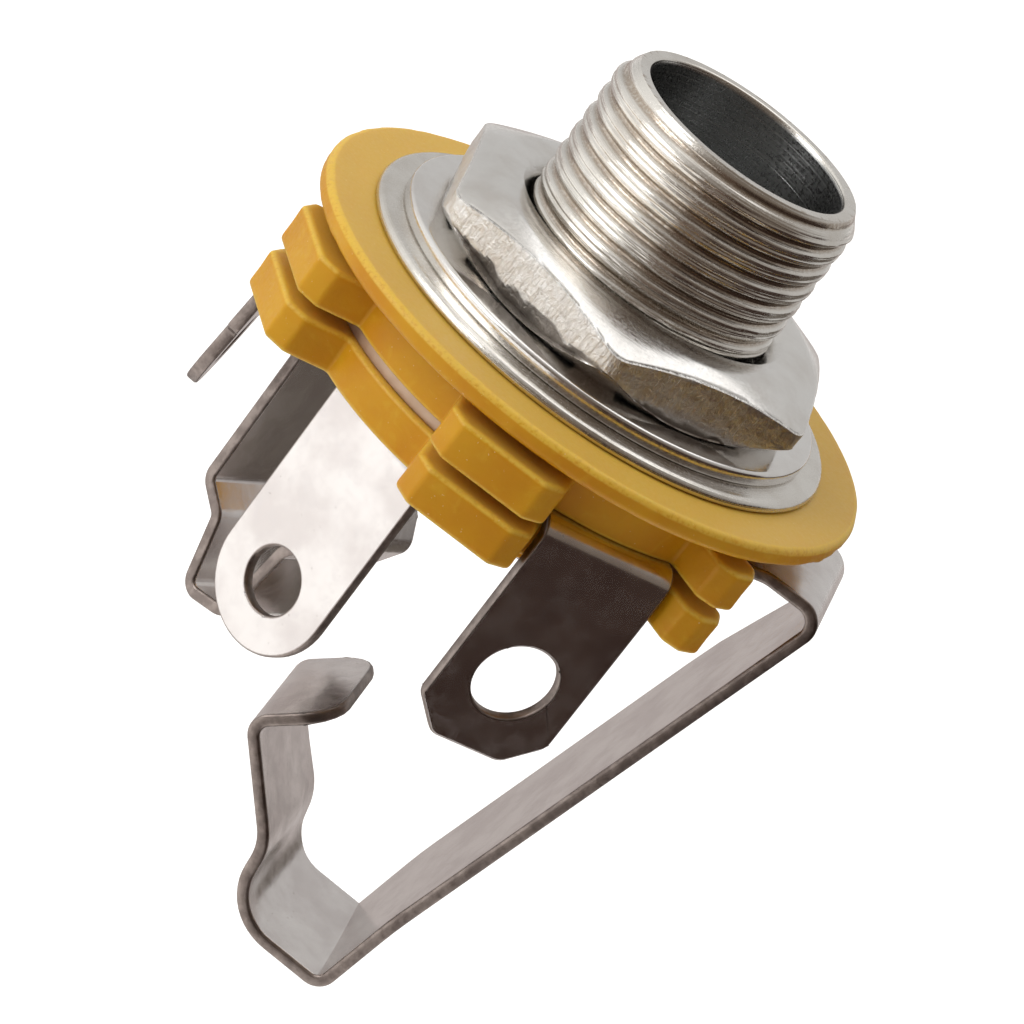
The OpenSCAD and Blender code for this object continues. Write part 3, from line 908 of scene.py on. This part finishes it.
def wafer_outline(notched):
    """Round wafer with four wide keys and two narrow ones, and a notch between those if asked for."""
    arc_step = 3
    keys = [(NARROW_KEY_ANGLE, NARROW_KEY_W), (90, KEY_W), (150, KEY_W), (210, KEY_W), (270, KEY_W),
            (360 - NARROW_KEY_ANGLE, NARROW_KEY_W)]
    feet = [math.degrees(math.asin(width / 2 / WAFER_R)) for _, width in keys]
    corners = []
    for i, (angle, width) in enumerate(keys):
        corners += key_corners(angle, width)
        if notched and i == len(keys) - 1:
            side = math.sqrt(WAFER_R ** 2 - NOTCH_HALF ** 2)
            corners += [(side, -NOTCH_HALF, 0.15), (NOTCH_X, -NOTCH_HALF, 0.2),
                        (NOTCH_X, NOTCH_HALF, 0.2), (side, NOTCH_HALF, 0.15)]
            break
        n = (i + 1) % len(keys)
        start = angle + feet[i]
        end = keys[n][0] + (360 if n == 0 else 0) - feet[n]
        count = max(3, math.ceil((end - start) / arc_step))
        for k in range(1, count):
            a = math.radians(start + (end - start) * k / count)
            corners.append((WAFER_R * math.cos(a), WAFER_R * math.sin(a), 0.0))
    return fillet(corners, step=15)


def make_wafer(name, z, replaced, notched):
    """Wafer with soft, worn edges and a collar below it, on which the next plate is centred."""
    shape = Shape()
    soft = 0.16
    wall_end = 0.12
    hollow = 0.012
    margin = 0.15
    outline = wafer_outline(notched)
    count = len(outline)
    normals = []
    for i in range(count):
        u = (outline[i] - outline[i - 1]).normalized()
        v = (outline[(i + 1) % count] - outline[i]).normalized()
        normals.append(-left_of((u + v).normalized()))

    def ring_at(inset, level):
        return [(p.x - n.x * inset, p.y - n.y * inset, level) for p, n in zip(outline, normals)]

    def round_at(radius, level):
        return [(radius * p.normalized().x, radius * p.normalized().y, level) for p in outline]

    low = z - WAFER_T
    collar_low = low - SHEET_T
    rings = [round_at(STACK_BORE_R, collar_low), round_at(COLLAR_R, collar_low), round_at(COLLAR_R, low),
             ring_at(soft, low)]
    worn = [0.0] * 4
    for k in range(1, 4):
        a = math.radians(30 * k)
        rings.append(ring_at(soft * (1 - math.sin(a)), low + soft * (1 - math.cos(a))))
        worn.append(0.0 if k == 3 else 1.0)
    walls = ((0.0, low + soft + wall_end), (hollow, (low + z) / 2), (0.0, z - soft - wall_end))
    for inset, level in walls:
        rings.append(ring_at(inset, level))
        worn.append(0.0)
    for k in range(0, 4):
        a = math.radians(30 * k)
        rings.append(ring_at(soft * (1 - math.cos(a)), z - soft * (1 - math.sin(a))))
        worn.append(0.0 if k == 0 else 1.0)
    rings += [ring_at(soft + margin, z), round_at(STACK_BORE_R, z)]
    worn += [0.0, 0.0]
    shape.grid(rings, worn=worn)
    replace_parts(shape.build(name, amber, "frame"), replaced)


def make_rear_washer():
    shape = Shape()
    soft = 0.12
    low = REAR_Z - REAR_T
    shape.turned(fillet([(STACK_BORE_R, low, 0), (REAR_R, low, soft), (REAR_R, REAR_Z, soft),
                         (STACK_BORE_R, REAR_Z, 0)]))
    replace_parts(shape.build("washer_rear", amber, "frame"), "rear_washer")


# Contacts: round plates with lugs bent down, and springs

def lug_path(start, z, outer, drop, splay=0.0):
    """Path from a plate outwards, round a bend and down, splayed outwards by an angle."""
    mid_z = z - SHEET_T / 2
    mid_r = outer - SHEET_T / 2
    end_r = mid_r + (drop + mid_z) * math.tan(math.radians(splay))
    return Path([(start, mid_z, 0), (mid_r, mid_z, BEND_R + SHEET_T / 2), (end_r, -drop, 0)])


def make_sleeve_contact():
    shape = Shape()
    plate_r = 8.4
    lug_start = 7.5
    lug_r = 9.4
    drop = 10.4
    splay = 5.0
    hole_drop = 8.4
    hole_r = 1.0
    shoulder_drop = 7.2
    shoulder_run = 0.25
    root_half = 2.5
    half = 2.0
    plate(shape, SLEEVE_Z, plate_r, STACK_BORE_R)
    path = lug_path(lug_start, SLEEVE_Z, lug_r, drop, splay)
    stretch = 1 / math.cos(math.radians(splay))
    end = path.length
    step = end - (drop - shoulder_drop) * stretch
    corners = [(0, -root_half, 0), (step, -root_half, 0.25), (step + shoulder_run, -half, 0.2)]
    corners += half_round(end, half)
    corners += [(step + shoulder_run, half, 0.2), (step, root_half, 0.25), (0, root_half, 0)]
    hole = circle(end - (drop - hole_drop) * stretch, hole_r, 48)
    sheet(shape, [fillet(corners), hole], path, SLEEVE_LUG_ANGLE, LUG_EDGE)
    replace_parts(shape.build("contact_sleeve", spring_metal, "frame"), "sleeve_contact")


def make_tip_contact():
    shape = Shape()
    plate_r = 8.42
    lug_start = 7.7
    lug_r = 9.3
    drop = 11.6
    hole_drop = 8.73
    hole_r = 1.42
    cut = 1.15
    cut_round = 0.55
    half = 2.5
    plate(shape, TIP_Z, plate_r, PLATE_BORE_R)
    path = lug_path(lug_start, TIP_Z, lug_r, drop)
    end = path.length
    outline = fillet([(0, -half, 0), (end - cut, -half, cut_round), (end, cut - half, cut_round),
                      (end, half - cut, cut_round), (end - cut, half, cut_round), (0, half, 0)])
    hole = circle(end - (drop - hole_drop), hole_r, 72)
    sheet(shape, [outline, hole], path, TIP_LUG_ANGLE, LUG_EDGE)
    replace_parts(shape.build("contact_tip", spring_metal, "frame"), "tip_contact")


def make_ring_contact():
    shape = Shape()
    plate_r = 6.6
    lug_start = 5.7
    lug_r = 7.15
    hole_drop = 11.85
    hole_r = 1.15
    half = 2.5
    plate(shape, RING_Z, plate_r, PLATE_BORE_R)
    path = lug_path(lug_start, RING_Z, lug_r, hole_drop + half)
    outline = fillet([(0, -half, 0)] + half_round(path.length, half) + [(0, half, 0)])
    sheet(shape, [outline, circle(path.length - half, hole_r, 56)], path, RING_LUG_ANGLE, LUG_EDGE)
    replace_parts(shape.build("contact_ring", spring_metal, "frame"), "ring_contact")


def spring_blank(length, half, corner):
    return [fillet([(0, -half, 0), (length, -half, corner), (length, half, corner), (0, half, 0)])]


def make_tip_spring():
    """Spring that leaves the stack on a ramp, runs down and folds back to the plug's tip."""
    shape = Shape()
    half = 2.9
    corner = 1.4
    ramp_bend = 1.5
    lean = 0.06
    mid = TIP_Z - SHEET_T / 2
    high = mid + TIP_RISE
    root = (6.3, mid, 0)
    ramp_foot = (7.0, mid, ramp_bend)
    ramp_head = (9.2, high, ramp_bend)
    shoulder = (11.55, high, 0.5 + SHEET_T / 2)
    waist = (6.6, -21.0, 20)
    heel = (5.9, -24.5, 0.6)
    toe = (1.75, -24.35, 2.1)
    knee = (1.5, -21.45, 2.1)
    point = (-1.4, -18.0, 0.6)
    tail = (0.9, -15.9, 0)
    path = Path([root, ramp_foot, ramp_head, shoulder, waist, heel, toe, knee, point, tail])
    near_root = [3.6 + 0.1 * k for k in range(22)]

    def twist(along, across):
        return -lean * (across + half) * eased(along, 6.0, 11.0) * (1 - eased(along, 31.0, 35.0))

    blank = spring_blank(path.length, half, corner)
    sheet(shape, blank, path, TIP_SPRING_ANGLE, SPRING_EDGE, extra_cuts=near_root, twist=twist)
    obj = shape.build("spring_tip", spring_metal, None)
    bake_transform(obj)
    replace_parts(obj, "tip_spring")


def make_ring_spring():
    """Spring that drops from its plate and folds back up to the plug's ring."""
    shape = Shape()
    half = 2.6
    corner = 0.9
    mid = RING_Z - SHEET_T / 2
    root = (5.9, mid, 0)
    shoulder = (7.4, mid, BEND_R + SHEET_T / 2)
    waist = (7.4, -13.7, 0.5)
    ankle = (6.2, -14.4, 0.5)
    heel = (5.5, -17.1, 0.5)
    toe = (3.65, -16.6, 0.7)
    knee = (3.25, -13.4, 0.6)
    point = (2.45, -12.1, 0.5)
    tail = (3.35, -10.5, 0)
    path = Path([root, shoulder, waist, ankle, heel, toe, knee, point, tail])
    near_root = [0.6 + 0.08 * k for k in range(14)]
    blank = spring_blank(path.length, half, corner)
    sheet(shape, blank, path, RING_SPRING_ANGLE, SPRING_EDGE, extra_cuts=near_root)
    obj = shape.build("spring_ring", spring_metal, None)
    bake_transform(obj)
    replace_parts(obj, "ring_spring")


make_bushing()
make_nut()
make_washer()
make_disc()
make_wafer("wafer_upper", UPPER_Z, "upper_wafer", notched=True)
make_wafer("wafer_lower", LOWER_Z, "lower_wafer", notched=False)
make_rear_washer()
make_sleeve_contact()
make_tip_contact()
make_ring_contact()
make_tip_spring()
make_ring_spring()


# Stage: floor, reflection cards, lamps, world and camera

WHITE = (1, 1, 1, 1)
FLOOR_Z = -50
FLOOR_HALF = 3000
FLOOR_PAPER = (0.80, 0.80, 0.79, 1)
FLOOR_GLOW = 0.62
ROOM_BACK = (0.62, 0.61, 0.60, 1)
ROOM_LEFT = (1.0, 0.99, 0.97, 1)
ROOM_FRONT = (0.20, 0.165, 0.135, 1)
LEFT_WAY = (-0.86, -0.45, 0.25)
FRONT_WAY = (0.50, -0.86, 0.05)

CAMERA_PLACE = (0.162, -139.546, 49.139)
CAMERA_AZIMUTH = 89.5294
CAMERA_ELEVATION = -22.0346
CAMERA_ROLL = 37.4216
SENSOR_W = 36
PICTURE_W_PX = 1024
FOCAL_PX = 4500


def make_floor():
    """Pale paper that glows only where it is seen directly, through or by reflection."""
    mesh = bpy.data.meshes.new("floor")
    size = FLOOR_HALF * MM
    z = FLOOR_Z * MM
    corners = [(-size, -size, z), (size, -size, z), (size, size, z), (-size, size, z)]
    mesh.from_pydata(corners, [], [(0, 1, 2, 3)])
    floor = placed("floor", mesh)
    made = bpy.data.materials.new("floor_paper")
    tree, surface = cleared(made, "ShaderNodeOutputMaterial")
    paper = node(tree, "ShaderNodeBsdfDiffuse", {"Color": FLOOR_PAPER})
    glow = node(tree, "ShaderNodeEmission", {"Color": WHITE, "Strength": FLOOR_GLOW})
    path = node(tree, "ShaderNodeLightPath")
    seen = math_of(tree, "MAXIMUM", path.outputs["Is Camera Ray"], path.outputs["Is Glossy Ray"])
    seen = math_of(tree, "MAXIMUM", seen, path.outputs["Is Transmission Ray"])
    both = node(tree, "ShaderNodeAddShader", {0: paper.outputs[0], 1: glow.outputs[0]})
    pick = node(tree, "ShaderNodeMixShader", {0: seen, 1: paper.outputs[0], 2: both.outputs[0]})
    tree.links.new(pick.outputs[0], surface)
    mesh.materials.append(made)


def make_card(name, start, end, low, high, colour):
    """Card that only reflections see: part of a cone, between (radius, z) low and high."""
    steps = 24
    verts = []
    for k in range(steps + 1):
        a = math.radians(start + (end - start) * k / steps)
        for r, z in (low, high):
            verts.append((r * math.cos(a) * MM, r * math.sin(a) * MM, z * MM))
    faces = [(2 * k, 2 * k + 2, 2 * k + 3, 2 * k + 1) for k in range(steps)]
    mesh = bpy.data.meshes.new(name)
    mesh.from_pydata(verts, [], faces)
    card = placed(name, mesh)
    made = bpy.data.materials.new(name)
    tree, surface = cleared(made, "ShaderNodeOutputMaterial")
    glow = node(tree, "ShaderNodeEmission", {"Color": colour, "Strength": 1.0})
    tree.links.new(glow.outputs[0], surface)
    mesh.materials.append(made)
    card.visible_camera = False
    card.visible_diffuse = False
    card.visible_shadow = False
    card.visible_transmission = False


def make_lamp(name, place, aim, size, power):
    data = bpy.data.lights.new(name, "AREA")
    data.shape = "SQUARE"
    data.size = size * MM
    data.energy = power
    lamp = placed(name, data)
    lamp.location = Vector(place) * MM
    direction = (Vector(aim) - Vector(place)).normalized()
    lamp.rotation_euler = direction.to_track_quat("-Z", "Y").to_euler()


def make_world():
    """White to the camera; for light and reflections a room that is bright at the left and dim in front."""
    world = bpy.data.worlds.new("studio")
    bpy.context.scene.world = world
    tree, surface = cleared(world, "ShaderNodeOutputWorld")
    path = node(tree, "ShaderNodeLightPath")
    towards = node(tree, "ShaderNodeTexCoord").outputs["Generated"]
    lit = remap(tree, along_direction(tree, towards, LEFT_WAY), 0.0, 0.8)
    dim = remap(tree, along_direction(tree, towards, FRONT_WAY), -0.15, 0.75)
    room = mix_colour(tree, lit, ROOM_BACK, ROOM_LEFT)
    room = mix_colour(tree, dim, room, ROOM_FRONT)
    shown = mix_colour(tree, path.outputs["Is Camera Ray"], room, WHITE)
    back = node(tree, "ShaderNodeBackground", {"Color": shown, "Strength": 1.0})
    tree.links.new(back.outputs[0], surface)


def make_camera():
    azimuth = math.radians(CAMERA_AZIMUTH)
    elevation = math.radians(CAMERA_ELEVATION)
    roll = math.radians(CAMERA_ROLL)
    forward = Vector((math.cos(elevation) * math.cos(azimuth), math.cos(elevation) * math.sin(azimuth),
                      math.sin(elevation)))
    level = forward.cross(Vector((0, 0, 1))).normalized()
    rise = level.cross(forward)
    right = level * math.cos(roll) + rise * math.sin(roll)
    up = right.cross(forward)
    data = bpy.data.cameras.new("camera")
    data.sensor_width = SENSOR_W
    data.lens = SENSOR_W * FOCAL_PX / PICTURE_W_PX
    data.clip_start = 5 * MM
    camera = placed("camera", data)
    turn = Matrix((right, up, -forward)).transposed().to_4x4()
    camera.matrix_world = Matrix.Translation(Vector(CAMERA_PLACE) * MM) @ turn
    bpy.context.scene.camera = camera


make_floor()
make_card("card_front", start=-72, end=25, low=(55, -49), high=(190, 60), colour=(0.050, 0.032, 0.026, 1))
make_card("card_side", start=-96, end=-72, low=(55, -49), high=(190, 60), colour=(0.16, 0.115, 0.09, 1))
make_card("card_back", start=60, end=150, low=(24, -49.4), high=(190, -8), colour=(0.56, 0.51, 0.49, 1))
make_card("card_right", start=25, end=60, low=(40, -49.2), high=(190, 0), colour=(0.15, 0.13, 0.112, 1))
make_lamp("key", place=(-190, -120, 110), aim=(0, 0, -4), size=150, power=0.22)
make_lamp("top", place=(20, 90, 260), aim=(0, 0, 0), size=240, power=0.16)
make_world()
make_camera()
bpy.context.scene.view_settings.view_transform = "Standard"
